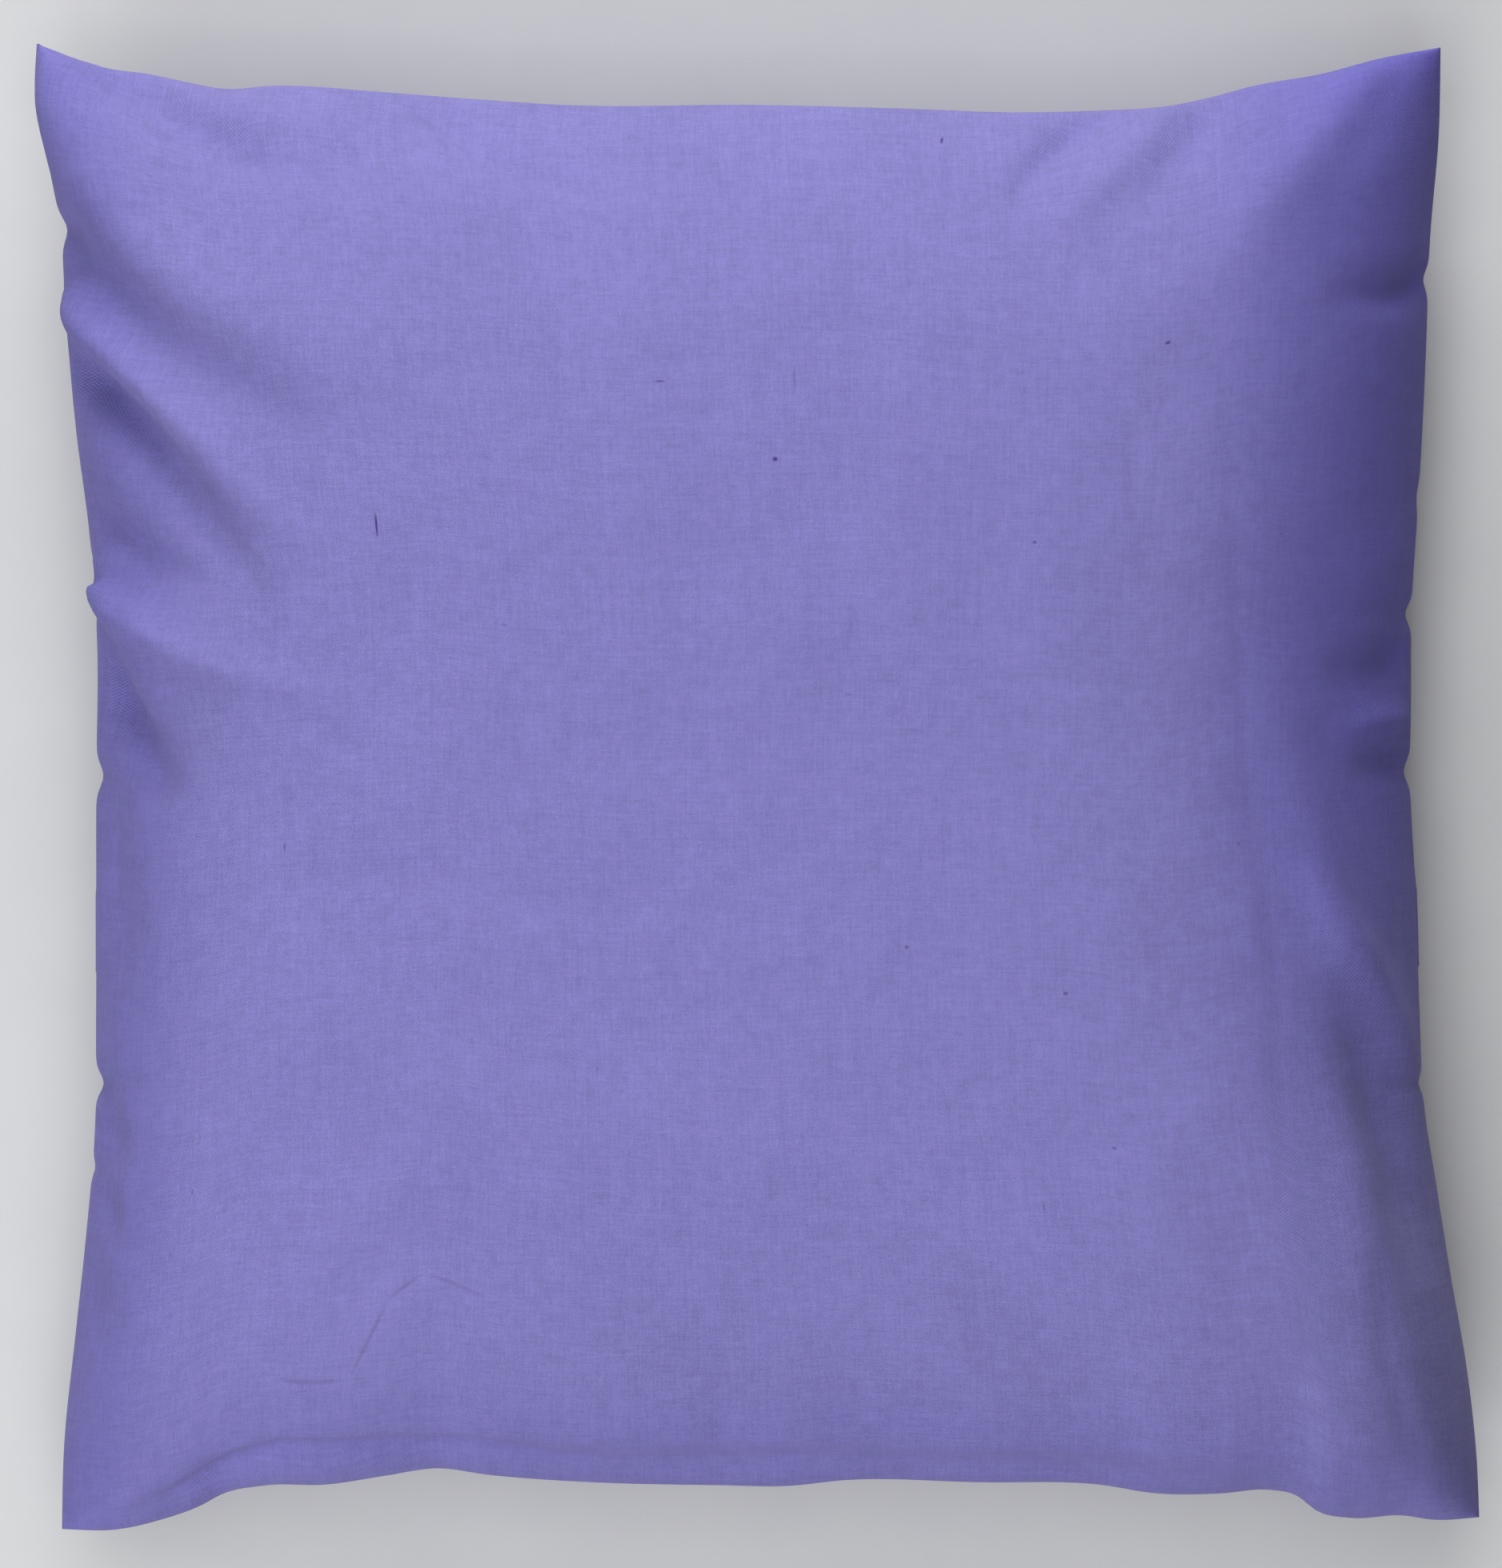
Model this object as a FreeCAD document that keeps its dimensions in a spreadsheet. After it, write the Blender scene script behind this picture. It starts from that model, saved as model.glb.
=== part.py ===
import FreeCAD, Part
import math
import os
from itertools import combinations

# A square eye pillow: a removable cotton cover with an envelope opening at the back, and in it
# a sewn inner bag full of husks. Millimetres, +Z up, X across the pillow and Y along it. The
# origin is the middle of the flat underside, which rests on z = 0.
#
# Every cloth piece is a thin shell between two pillow forms. A form has a top half and an
# underside half that meet at the seam plane. Its four sides curve inwards between pointed
# corners, and each half bulges as (1 - u^4)(1 - v^4), so it is full in the middle and flat at
# the corners, where the real cloth holds no filling.

Vector = FreeCAD.Vector
TOP = 1
UNDERSIDE = -1
DEGREE = 4
SIDES = ("left", "right", "top", "bottom")

doc = FreeCAD.newDocument("eye_pillow")

# ---- driving dimensions -------------------------------------------------------------------

DIMENSIONS = {
    "overall_width": 195.4,      # corner to corner along X
    "overall_length": 201.0,     # corner to corner along Y
    "side_dip": 9.1,             # how far the left and right sides curve in at their middle
    "end_dip": 7.9,              # how far the top and bottom ends curve in at their middle
    "seam_height": 25.0,         # the seam plane above the surface that the pillow rests on
    "crown_rise": 32.6,          # top of the inside of the cover above the seam plane
    "underside_drop": 31.0,      # the same below it, before the flat underside cuts it off
    "cloth": 0.4,                # thickness of each cloth panel
    "seam_turn": 0.6,            # width of the turned edge where two panels are sewn together
    "layer_gap": 0.3,            # clearance between two layers of cloth
    "flap_gap": 0.6,             # clearance between the two flaps, which the hem thread needs
    "flap_overlap": 50.0,        # how far the two back panels overlap
    "flap_step": 1.6,            # length of the step where the lower panel passes inside
    "bag_inset": 6.0,            # the inner bag's edge inside the cover's edge
    "filling_inset": 2.0,        # the filling's edge inside the inner bag's edge
    "thread_diameter": 0.3,
    "stitch_length": 2.8,
    "stitch_pitch": 4.0,
    "stitch_inset": 1.6,         # a seam's stitches inside the cloth's outer edge
    "hem_depth": 8.0,            # a hem's stitches from the edge of its flap
    "seam_reach": 0.92,          # part of each side that the seam stitches run along
    "hem_reach": 0.93,           # part of the width that the hem stitches run along
}

sheet = doc.addObject("Spreadsheet::Sheet", "Sizes")
for row, (alias, value) in enumerate(DIMENSIONS.items(), start=1):
    sheet.set(f"A{row}", alias)
    sheet.set(f"B{row}", str(value))
    sheet.setAlias(f"B{row}", alias)
doc.recompute()


def size(alias):
    """A driving dimension, as the sheet holds it."""
    return float(sheet.get(alias))


# ---- pillow forms -------------------------------------------------------------------------


class Form:
    """One half of a pillow form: how far it is inside the cover's edge, and its bulge."""

    def __init__(self, side, inset, bulge, edge=0.0):
        self.side = side
        self.half_width = size("overall_width") / 2 - inset
        self.half_length = size("overall_length") / 2 - inset
        self.bulge = bulge
        self.edge = edge

    def point(self, u, v):
        """The place on the form at u across and v along it, each from -1 to 1."""
        x = u * (self.half_width - size("side_dip") * (1 - v**2))
        y = v * (self.half_length - size("end_dip") * (1 - u**2))
        rise = self.edge + self.bulge * (1 - u**4) * (1 - v**4)
        return Vector(x, y, size("seam_height") + self.side * rise)

    def surface(self):
        """The same form as an exact Bezier patch."""
        one, square, fourth = (bezier_poles(power) for power in (1, 2, 4))
        patch = Part.BezierSurface()
        patch.increase(DEGREE, DEGREE)
        for i in range(DEGREE + 1):
            for j in range(DEGREE + 1):
                x = one[i] * (self.half_width - size("side_dip") * (1 - square[j]))
                y = one[j] * (self.half_length - size("end_dip") * (1 - square[i]))
                rise = self.edge + self.bulge * (1 - fourth[i]) * (1 - fourth[j])
                z = size("seam_height") + self.side * rise
                patch.setPole(i + 1, j + 1, Vector(x, y, z))
        return patch

    def solid(self):
        """The solid between the form's surface and the seam plane."""
        patch = self.surface().toShape()
        faces = [patch]
        rim = patch.Edges
        if self.edge:
            drop = Vector(0, 0, -self.side * self.edge)
            walls = [edge.extrude(drop) for edge in rim]
            faces += walls
            rim = [edge.translated(drop) for edge in rim]
        faces.append(Part.Face(Part.Wire(Part.__sortEdges__(rim))))
        shell = Part.Shell(faces)
        shell.sewShape()
        solid = Part.Solid(shell)
        if solid.Volume < 0:
            solid.reverse()
        return solid


def bezier_poles(power):
    """The poles, over -1 to 1, of t to the given power as a Bezier polynomial of DEGREE."""
    poles = []
    for ends in range(DEGREE + 1):
        arguments = [1] * ends + [-1] * (DEGREE - ends)
        products = [math.prod(group) for group in combinations(arguments, power)]
        poles.append(sum(products) / len(products))
    return poles


# ---- document objects ---------------------------------------------------------------------


def shape_feature(name, shape):
    feature = doc.addObject("Part::Feature", name)
    feature.Shape = shape
    feature.Placement = FreeCAD.Placement()
    return feature


def boolean(kind, name, base, tool):
    """A Part::Cut or Part::Common of two objects."""
    feature = doc.addObject(f"Part::{kind}", name)
    feature.Base = base
    feature.Tool = tool
    return feature


def slab(name, z_floor, y_low="-Sizes.overall_length", y_high="Sizes.overall_length"):
    """A box over the whole width, from z_floor up and from y_low to y_high, as expressions."""
    box = doc.addObject("Part::Box", name)
    box.setExpression("Length", "2 * Sizes.overall_width")
    box.setExpression("Width", f"({y_high}) - ({y_low})")
    box.setExpression("Height", "2 * Sizes.overall_width")
    box.setExpression("Placement.Base.x", "-Sizes.overall_width")
    box.setExpression("Placement.Base.y", y_low)
    box.setExpression("Placement.Base.z", z_floor)
    return box


def under_half(name, form, z_floor):
    """The underside half of a form, flat where it rests at z_floor."""
    whole = shape_feature(f"{name}_bulge", form.solid())
    return boolean("Common", name, whole, slab(f"{name}_flat", z_floor))


# ---- cover --------------------------------------------------------------------------------

cloth = size("cloth")
seam_turn = size("seam_turn")
layer_gap = size("layer_gap")
flap_gap = size("flap_gap")
crown_rise = size("crown_rise")
underside_drop = size("underside_drop")

inner_layer_inset = seam_turn + layer_gap
inner_layer_bulge = underside_drop - flap_gap


def cover_front():
    outside = shape_feature("front_outside", Form(TOP, 0, crown_rise, cloth).solid())
    inside = shape_feature("front_inside", Form(TOP, seam_turn, crown_rise).solid())
    return boolean("Cut", "cover_front_panel", outside, inside)


def cover_back_layers():
    """The underside's outer layer, its inner layer, and the two with the gap between filled."""
    outside = under_half("back_outside", Form(UNDERSIDE, 0, underside_drop, cloth), "0")
    inside = under_half("back_inside", Form(UNDERSIDE, seam_turn, underside_drop), "Sizes.cloth")
    inner_form = Form(UNDERSIDE, inner_layer_inset, inner_layer_bulge)
    cavity_form = Form(UNDERSIDE, inner_layer_inset + layer_gap, inner_layer_bulge - cloth)
    inner_outside = under_half("flap_outside", inner_form, "Sizes.cloth + Sizes.flap_gap")
    cavity = under_half("flap_inside", cavity_form, "2 * Sizes.cloth + Sizes.flap_gap")
    outer_layer = boolean("Cut", "outer_layer", outside, inside)
    inner_layer = boolean("Cut", "inner_layer", inner_outside, cavity)
    both_layers = boolean("Cut", "both_layers", outside, cavity)
    return outer_layer, inner_layer, both_layers


def cover_back_upper(outer_layer):
    """The upper back panel: the outer flap, down to half the overlap past the middle."""
    above = slab("upper_panel_extent", "-1", y_low="-Sizes.flap_overlap / 2")
    return boolean("Common", "cover_back_upper_panel", outer_layer, above)


def cover_back_lower(outer_layer, inner_layer, both_layers):
    """The lower back panel, which steps inside the upper one where they overlap."""
    step_high = "-Sizes.flap_overlap / 2 - Sizes.layer_gap"
    step_low = f"{step_high} - Sizes.flap_step"
    below = boolean("Common", "lower_panel_outer", outer_layer,
                    slab("lower_extent", "-1", y_high=f"{step_low}"))
    step = boolean("Common", "lower_panel_step", both_layers,
                   slab("step_extent", "-1", y_low=step_low, y_high=step_high))
    flap = boolean("Common", "lower_panel_flap", inner_layer,
                   slab("flap_extent", "-1", y_low=step_high, y_high="Sizes.flap_overlap / 2"))
    panel = doc.addObject("Part::MultiFuse", "cover_back_lower_panel")
    panel.Shapes = [below, step, flap]
    return panel


# ---- inner bag and filling ----------------------------------------------------------------

bag_inset = size("bag_inset")
bag_crown = crown_rise - cloth - layer_gap
bag_drop = inner_layer_bulge - 2 * cloth - layer_gap
BAG_FLOOR = "2 * Sizes.cloth + Sizes.flap_gap + Sizes.layer_gap"


def bag_front():
    outside = Form(TOP, bag_inset, bag_crown, cloth)
    inside = Form(TOP, bag_inset + seam_turn, bag_crown)
    return boolean("Cut", "inner_bag_front_panel",
                   shape_feature("bag_front_outside", outside.solid()),
                   shape_feature("bag_front_inside", inside.solid()))


def bag_back():
    outside = Form(UNDERSIDE, bag_inset, bag_drop, cloth)
    inside = Form(UNDERSIDE, bag_inset + seam_turn, bag_drop)
    return boolean("Cut", "inner_bag_back_panel",
                   under_half("bag_back_outside", outside, BAG_FLOOR),
                   under_half("bag_back_inside", inside, f"{BAG_FLOOR} + Sizes.cloth"))


def filling():
    """The husks, as one plain solid a layer's gap inside the bag."""
    inset = bag_inset + seam_turn + size("filling_inset")
    top = shape_feature("filling_top", Form(TOP, inset, bag_crown - layer_gap).solid())
    underside = under_half("filling_underside", Form(UNDERSIDE, inset, bag_drop - layer_gap),
                           f"{BAG_FLOOR} + Sizes.cloth + Sizes.layer_gap")
    body = doc.addObject("Part::MultiFuse", "filling")
    body.Shapes = [top, underside]
    return body


# ---- stitches -----------------------------------------------------------------------------


def stitch(start, end):
    """One visible stitch: a short piece of thread, centred between two places on its line."""
    along = (end - start).normalize()
    length = size("stitch_length")
    base = (start + end) * 0.5 - along * (length / 2)
    return Part.makeCylinder(size("thread_diameter") / 2, length, base, along)


def stitch_row(place, reach, line_length):
    """Stitches along place(t), for t from -reach to reach."""
    count = int(2 * reach * line_length / size("stitch_pitch"))
    stops = [reach * (2 * i / count - 1) for i in range(count + 1)]
    return [stitch(place(start), place(end)) for start, end in zip(stops, stops[1:])]


def seam_stitches(name, side, inset):
    """The seam thread along one side of a panel whose edge is that far inside the cover's."""
    form = Form(TOP, inset, 0)
    across = side in ("top", "bottom")
    sign = 1 if side in ("right", "top") else -1

    def place(t):
        return form.point(t, sign) if across else form.point(sign, t)

    half_line = form.half_width if across else form.half_length
    stitches = stitch_row(place, size("seam_reach"), half_line)
    return shape_feature(name, Part.makeCompound(stitches))


def hem_stitches(name, form, z_floor, y_line):
    """The thread of a flap's hem, a straight row that follows the underside at y_line."""

    def place(t):
        x = t * (form.half_width - size("side_dip"))
        v = y_line / (form.half_length - size("end_dip"))
        on_form = form.point(x / (form.half_width - size("side_dip") * (1 - v**2)), v)
        return Vector(x, y_line, max(on_form.z, z_floor))

    stitches = stitch_row(place, size("hem_reach"), form.half_width)
    return shape_feature(name, Part.makeCompound(stitches))


def all_stitches():
    for side in SIDES:
        seam_stitches(f"cover_seam_stitches_{side}", side, size("stitch_inset"))
    for side in ("left", "right", "top"):
        seam_stitches(f"inner_bag_seam_stitches_{side}", side, bag_inset + size("stitch_inset"))
    seam_stitches("inner_bag_closing_stitches", "bottom", bag_inset + size("stitch_inset"))
    # the upper flap's hem thread lies between the two flaps, the lower one's inside both
    hem_line = size("flap_overlap") / 2 - size("hem_depth")
    between_flaps = Form(UNDERSIDE, seam_turn + layer_gap / 2, underside_drop - flap_gap / 2)
    hem_stitches("upper_hem_stitches", between_flaps, cloth + flap_gap / 2, -hem_line)
    inside_flaps = Form(UNDERSIDE, inner_layer_inset + 2 * layer_gap, bag_drop + cloth + layer_gap / 2)
    inside_floor = 2 * cloth + flap_gap + layer_gap / 2
    hem_stitches("lower_hem_stitches", inside_flaps, inside_floor, hem_line)


# ---- make, check and write ----------------------------------------------------------------

cover_front()
outer, inner, both = cover_back_layers()
cover_back_upper(outer)
cover_back_lower(outer, inner, both)
bag_front()
bag_back()
filling()
all_stitches()
doc.recompute()

NODES = [
    "cover_front_panel",
    "cover_back_upper_panel",
    "cover_back_lower_panel",
    *(f"cover_seam_stitches_{side}" for side in SIDES),
    "upper_hem_stitches",
    "lower_hem_stitches",
    "inner_bag_front_panel",
    "inner_bag_back_panel",
    "inner_bag_seam_stitches_left",
    "inner_bag_seam_stitches_right",
    "inner_bag_seam_stitches_top",
    "inner_bag_closing_stitches",
    "filling",
]

for item in doc.Objects:
    if {"Invalid", "Error"} & set(item.State):
        raise RuntimeError(f"{item.Label} failed: {item.State}")

os.makedirs("parts", exist_ok=True)
for node in NODES:
    part = doc.getObject(node)
    if part.Shape.isNull() or not part.Shape.isValid():
        raise RuntimeError(f"{node} has no valid shape")
    print(f"{node}: {len(part.Shape.Solids)} solids, {part.Shape.Volume:.1f} mm3")
    part.Shape.exportStep(f"parts/{node}.step")
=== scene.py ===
import math

import bpy
import numpy as np
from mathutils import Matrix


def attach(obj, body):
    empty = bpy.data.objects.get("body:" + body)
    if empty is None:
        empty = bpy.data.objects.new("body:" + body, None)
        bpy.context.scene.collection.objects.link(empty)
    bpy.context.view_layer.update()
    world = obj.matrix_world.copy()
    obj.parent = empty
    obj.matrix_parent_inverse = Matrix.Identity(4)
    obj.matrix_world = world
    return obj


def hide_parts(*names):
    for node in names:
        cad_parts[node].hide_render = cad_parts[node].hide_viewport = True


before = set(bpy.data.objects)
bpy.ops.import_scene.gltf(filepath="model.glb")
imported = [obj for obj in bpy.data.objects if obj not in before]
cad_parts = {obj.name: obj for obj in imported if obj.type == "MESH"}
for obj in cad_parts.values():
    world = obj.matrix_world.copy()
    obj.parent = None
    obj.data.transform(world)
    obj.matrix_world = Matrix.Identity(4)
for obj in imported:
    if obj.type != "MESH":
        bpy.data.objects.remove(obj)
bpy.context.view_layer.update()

# A plump square eye pillow in lilac cotton percale. Shapes are worked out in millimetres, in the
# frame's axes, and become metres only when a mesh is made. The pillow's two faces are grids over
# the cloth: s runs from the left side (0) to the right (1), t from the bottom end (0) to the top.

MM = 0.001
SEED = 7

# ---- the seam's outline -------------------------------------------------------------------

CORNER = {
    "top_left": (-97.3, 100.4),
    "top_right": (92.4, 99.9),
    "bottom_right": (97.6, -98.8),
    "bottom_left": (-93.9, -100.4),
}
# each side's line as (place along the side, place across it)
LEFT_SIDE = [
    (-100.4, -93.9), (-88, -93.4), (-74, -91.9), (-60, -90.4), (-47, -89.3), (-30, -89.1),
    (0, -89.1), (20, -89.0), (34, -90.0), (48, -91.8), (62, -93.1), (76, -94.1), (86, -96.0),
    (93, -97.4), (100.4, -97.3),
]
RIGHT_SIDE = [
    (-98.8, 97.6), (-90, 97.1), (-78, 95.7), (-66, 93.6), (-54, 91.7), (-43, 90.0), (-30, 89.4),
    (-14, 88.9), (0, 88.2), (12, 88.3), (24, 88.4), (40, 89.4), (58, 90.3), (74, 90.9), (88, 92.1),
    (99.9, 92.4),
]
TOP_SIDE = [
    (-97.3, 100.4), (-91, 98.0), (-87.6, 97.0), (-82, 96.2), (-76, 94.9), (-72, 94.2), (-65, 94.6),
    (-50, 93.7), (-37, 92.7), (-26, 92.0), (0, 92.0), (20, 91.5), (35, 91.0), (47, 91.3),
    (55, 91.8), (61, 93.0), (67, 94.6), (76, 96.2), (84, 98.3), (92.4, 99.9),
]
BOTTOM_SIDE = [
    (-93.9, -100.4), (-86, -100.3), (-80, -98.9), (-75, -97.1), (-72, -95.5), (-66, -94.3),
    (-58, -94.2), (-50, -93.0), (-43, -92.0), (-36, -92.9), (-24, -93.8), (-5, -94.3), (4, -94.4),
    (12, -93.6), (30, -93.9), (46, -94.2), (54, -95.4), (62, -95.4), (69, -94.9), (72.5, -95.6),
    (75.5, -97.8), (80, -98.7), (87, -98.4), (91, -99.0), (97.6, -98.8),
]
# where the side seams are pinched: (place along the side, depth, width)
LEFT_PINCHES = [
    (75.0, 1.0, 2.0), (27.0, 2.0, 2.6), (1.4, 1.0, 2.0), (-39.9, 1.1, 1.7), (-51.3, 0.4, 1.2),
]
RIGHT_PINCHES = [
    (68.3, 0.7, 1.6), (23.2, 0.9, 1.6), (2.0, 0.9, 1.8), (-39.9, 0.6, 1.2), (39.0, 0.3, 2.0),
]
PINCH_REACH = 4.0
SEAM_HEIGHT = 25.0
CORNER_DROOP = 5.0
LEFT_SAG = 6.0
RIGHT_SAG = 11.0
# the camera is this high above the floor; places along the seam and the folds are as it sees them
EYE_HEIGHT = 900.0


def through(points, at):
    """A smooth line through (along, across) points, as the places across it at the given ones."""
    along, across = np.array(points, float).T
    slope = np.gradient(across, along)
    i = np.clip(np.searchsorted(along, at) - 1, 0, len(along) - 2)
    step = along[i + 1] - along[i]
    q = (at - along[i]) / step
    start = (1 + 2 * q) * (1 - q) ** 2 * across[i] + q * (1 - q) ** 2 * step * slope[i]
    end = q**2 * (3 - 2 * q) * across[i + 1] - q**2 * (1 - q) * step * slope[i + 1]
    return start + end


def lerp(a, b, q):
    return a + (b - a) * q


def ease(q):
    """0 to 1 as q goes from 0 to 1, level at both ends."""
    return q**2 * (3 - 2 * q)


def flat_outline(s, t):
    """The places in plan inside the seam's outline, a patch between its four sides.

    Where the seam sags it is further from the camera, so it is wider than it looks."""
    top_left, top_right = np.array(CORNER["top_left"]), np.array(CORNER["top_right"])
    bottom_left, bottom_right = np.array(CORNER["bottom_left"]), np.array(CORNER["bottom_right"])
    left_y = lerp(bottom_left[1], top_left[1], t)
    right_y = lerp(bottom_right[1], top_right[1], t)
    bottom_x = lerp(bottom_left[0], bottom_right[0], s)
    top_x = lerp(top_left[0], top_right[0], s)
    left_x = through(LEFT_SIDE, left_y)
    right_x = through(RIGHT_SIDE, right_y)
    corners_y = lerp(lerp(bottom_left[1], bottom_right[1], s), lerp(top_left[1], top_right[1], s), t)
    x = lerp(left_x, right_x, s)
    y = lerp(left_y, right_y, s)
    y = y + lerp(through(BOTTOM_SIDE, bottom_x), through(TOP_SIDE, top_x), t) - corners_y
    for place, depth, width in LEFT_PINCHES:
        x = x + depth * np.exp(-(((y - place) / width) ** 2) - (x - left_x) / PINCH_REACH)
    for place, depth, width in RIGHT_PINCHES:
        x = x - depth * np.exp(-(((y - place) / width) ** 2) - (right_x - x) / PINCH_REACH)
    spread = (EYE_HEIGHT - seam_height(s, t)) / (EYE_HEIGHT - SEAM_HEIGHT)
    return x * spread, y * spread


# ---- the two faces ------------------------------------------------------------------------

TOP_HEIGHT = 55.4
UNDERSIDE_DROP = 31.0
SEAM_ROLL = 0.7
SEAM_GROOVE = 0.4
GROOVE_WIDTH = 0.08
CLOTH = 0.35
PANEL_GAP = 0.04
UNDERSIDE_REST = 1.0
FLOOR_BLEND = 3.0
PILLOW_LENGTH = 202.0
# the face is fuller by the right side where y is below the first of these than above the second
RIGHT_CHANGES = (-85.0, 10.0)
RIGHT_POWERS = (8.0, 3.9)
# slight waves all over a face: (height, size of a lump, number added to the seed)
FACE_WAVES = [(0.22, 13, 0), (0.1, 5.5, 1), (0.3, 27, 2)]
UNDERSIDE_WAVES = [(0.4, 16, 3), (0.2, 7, 4)]
# how far from the seam each kind of unevenness takes to reach its full height
FACE_WAVE_REACH = 2.2
FOLD_REACH = 1.8
UNDERSIDE_WAVE_REACH = 3.0
# a pinch in the seam pulls a ridge across the underside, from the first x to the second
PINCH_RIDGE = (90.0, 70.0)
PINCH_RIDGE_TURN = 0.75
PINCH_RIDGE_WIDTH = 1.6
PINCH_RIDGE_HEIGHT = 1.2
# where the back bellies out past the seam: (-1 for the bottom end or 1 for the top, x, width, depth)
PEEKS = [(-1, -68.0, 4.0, 1.9), (1, -90.0, 3.0, 1.4)]
PEEK_REACH = 2.5
HALF_SPAN = 90.0

# folds on the face, from the side inwards: (points in plan, height, width, how late they fade)
FOLDS = [
    # the upper left: ridges that leave the side slanting down, with valleys between them
    ([(-97, 99), (-91, 85), (-85, 74), (-76, 66.5), (-62, 59.5), (-46, 53)], 2.8, 6.0, 2.4),
    ([(-93, 74), (-87, 66), (-80, 60), (-70, 53.5), (-56, 46)], -2.2, 4.0, 2.4),
    ([(-93, 65.5), (-87, 59), (-81, 53), (-74, 45.5), (-68, 38.5), (-60, 31)], 3.4, 3.0, 2.2),
    ([(-92.5, 57), (-87, 52), (-82, 46.5), (-76, 38.5), (-70, 29.5), (-66, 22)], -3.4, 2.6, 2.4),
    ([(-90, 46), (-85, 41), (-80, 35.5), (-76, 31)], 0.6, 3.0, 1.5),
    ([(-90, 36.5), (-85, 32.5), (-78, 28.5), (-68, 24)], -1.3, 2.2, 1.8),
    ([(-89.5, 29), (-84, 23.5), (-77, 18.5), (-69, 15), (-60, 11)], 3.4, 2.8, 2.2),
    ([(-88, 22), (-80, 15), (-70, 9), (-58, 4)], 2.0, 6.0, 1.8),
    ([(-90, 21), (-87, 12.5), (-83, 5), (-79, -2)], -4.2, 2.8, 2.5),
    # the rest of the left side
    ([(-90, -1), (-88.5, -10), (-86, -20), (-84, -30)], -1.8, 3.6, 1.6),
    ([(-90, -40), (-88, -46), (-86, -52)], -2.2, 2.0, 1.8),
    ([(-91, -51), (-88.5, -57), (-86.5, -63)], -2.2, 2.0, 1.8),
    ([(-92, -63), (-90, -70), (-88.5, -78)], -1.4, 2.6, 1.5),
    # the top left corner
    ([(-89.5, 98), (-87, 95.5), (-85.5, 91)], -0.9, 1.5, 1.5),
    ([(-80, 97), (-72, 91.5), (-64, 89), (-54, 88)], 2.4, 2.6, 1.4),
    ([(-84, 97), (-78, 90.5), (-70, 86), (-60, 83.5), (-50, 82)], -2.8, 3.8, 1.5),
    ([(-45, 93), (-38, 86.5), (-28, 82), (-16, 79)], -1.7, 2.6, 1.6),
    # the top right corner
    ([(48, 92), (41, 87), (36.5, 82), (34, 76)], -2.6, 2.2, 1.5),
    ([(58, 93), (51, 85), (45, 80), (39, 73)], 2.2, 3.2, 1.6),
    ([(64, 94), (57, 85), (52, 77)], -0.7, 2.8, 1.5),
    ([(83, 98), (76, 88), (70, 81), (62, 70)], 1.6, 4.4, 1.8),
    ([(88, 99), (81, 88), (76, 80)], -0.5, 3.4, 1.5),
    # the right side
    ([(92, 69), (86, 66.5), (76, 66)], -2.2, 2.6, 1.3),
    ([(91, 33), (84, 29), (77, 28)], 0.8, 4.0, 1.3),
    ([(90, 18), (84, 16), (76, 15)], -2.4, 3.4, 1.3),
    ([(90, 9.5), (84, 9), (77, 7)], 1.7, 1.9, 1.3),
    ([(90, 4), (85, 3.5), (80, 2)], -1.9, 2.0, 1.3),
]
# lines with both ends in the open, some left by folding the cover flat: (points, height, width)
CREASES = [
    ([(6, 13.5), (40, 14), (88, 12.5)], -0.15, 0.8),
    ([(62, 66), (64, 40), (66, 2), (70.5, -28), (71, -62)], -0.14, 1.2),
    ([(4, -30), (4.5, -60)], -0.12, 1.0),
    ([(-78, -18), (-61, -12.5), (-45, -12.5), (-31, -16.5), (-8, -17)], -0.26, 2.4),
    ([(-72, 16), (-60, 9), (-50, 1)], -0.4, 1.6),
    ([(49, 56), (52, 38), (54, 20)], -0.16, 2.2),
    ([(-60, 6), (-50, -22), (-48, -50)], 0.3, 9.0),
    ([(-76, 80), (-50, 72), (-14, 69)], -0.6, 6.0),
    ([(14, 80), (20, 50), (16, 20)], 0.3, 9.0),
    # the long fold that leads down to the bottom right corner, and the short one across it
    ([(68, 18), (73, 2), (77, -14), (79.5, -30), (80.5, -46), (82, -62), (84, -78)], 0.9, 4.2),
    ([(73, -10), (81, -22), (86, -32), (89.5, -42), (92, -56)], 1.7, 2.8),
    ([(78, -24), (83, -42), (87, -54), (91, -68)], -1.8, 3.8),
    ([(83, -62), (85, -77), (89, -92)], -0.25, 1.5),
    # the bottom edge, where the face dips before its rolled rim
    ([(-90, -101), (-79, -96.6), (-70, -92), (-65, -90.6), (-52, -90), (-40, -90), (-20, -92.4)],
     -2.4, 1.7),
    ([(-40, -91), (-10, -92), (20, -92), (50, -93), (66, -94.5)], -1.6, 1.8),
]
NOISE_CELLS = 96


def noise_field(x, y, cell, seed):
    """Smooth noise from -1 to 1 whose lumps are about one cell across."""
    rng = np.random.default_rng(seed)
    grid = rng.uniform(-1, 1, (NOISE_CELLS, NOISE_CELLS))
    gx, gy = x / cell + NOISE_CELLS / 2, y / cell + NOISE_CELLS / 2
    i, j = np.floor(gx).astype(int), np.floor(gy).astype(int)
    fx, fy = ease(gx - i), ease(gy - j)
    low = lerp(grid[i, j], grid[i + 1, j], fx)
    high = lerp(grid[i, j + 1], grid[i + 1, j + 1], fx)
    return lerp(low, high, fy)


def waves(x, y, kinds):
    """Several sizes of smooth noise together."""
    return sum(height * noise_field(x, y, size, SEED + offset) for height, size, offset in kinds)


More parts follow.
